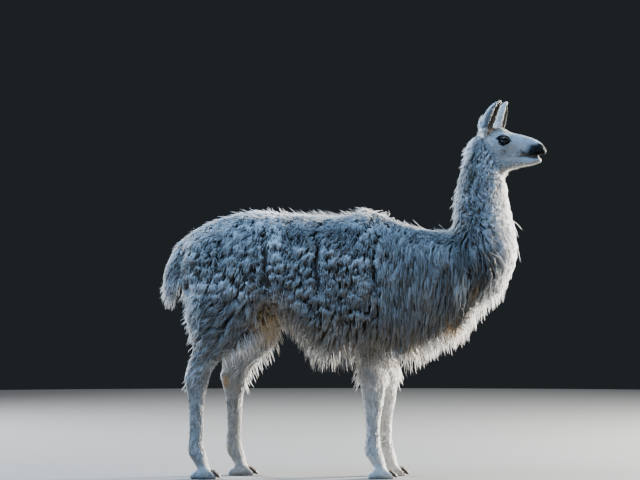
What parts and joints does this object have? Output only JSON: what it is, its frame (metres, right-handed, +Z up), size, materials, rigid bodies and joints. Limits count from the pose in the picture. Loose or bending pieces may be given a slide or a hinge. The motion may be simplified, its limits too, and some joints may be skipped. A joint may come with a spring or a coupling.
{
  "type": "llama",
  "caption": "Woolly llama standing in full fleece, head level with upright ears and slightly open mouth, as a still life-size figure.",
  "frame": {"origin": "on the floor under the middle of the overall box", "axes": "+X towards the nose, +Y to the animal's left, +Z up"},
  "size_m": [1.6277, 0.5741, 1.598],
  "materials": {
    "fleece": "matted off-white and grey wool",
    "short_hair": "short smooth white hair",
    "horn": "dark worn horn",
    "eye": "wet dark brown"
  },
  "bodies": {
    "root": {"head": "short_hair", "neck": "fleece", "trunk": "fleece", "tail": "fleece", "ear_right": "short_hair", "ear_left": "short_hair", "eye_right": "eye", "eye_left": "eye", "foreleg_right_upper": "short_hair", "foreleg_right_lower": "short_hair", "foreleg_right_foot": "short_hair", "foreleg_left_upper": "short_hair", "foreleg_left_lower": "short_hair", "foreleg_left_foot": "short_hair", "hindleg_right_upper": "short_hair", "hindleg_right_lower": "short_hair", "hindleg_right_foot": "short_hair", "hindleg_left_upper": "short_hair", "hindleg_left_lower": "short_hair", "hindleg_left_foot": "short_hair", "nail_fore_right_outer": "horn", "nail_fore_right_inner": "horn", "nail_fore_left_outer": "horn", "nail_fore_left_inner": "horn", "nail_hind_right_outer": "horn", "nail_hind_right_inner": "horn", "nail_hind_left_outer": "horn", "nail_hind_left_inner": "horn"}
  },
  "joints": []
}
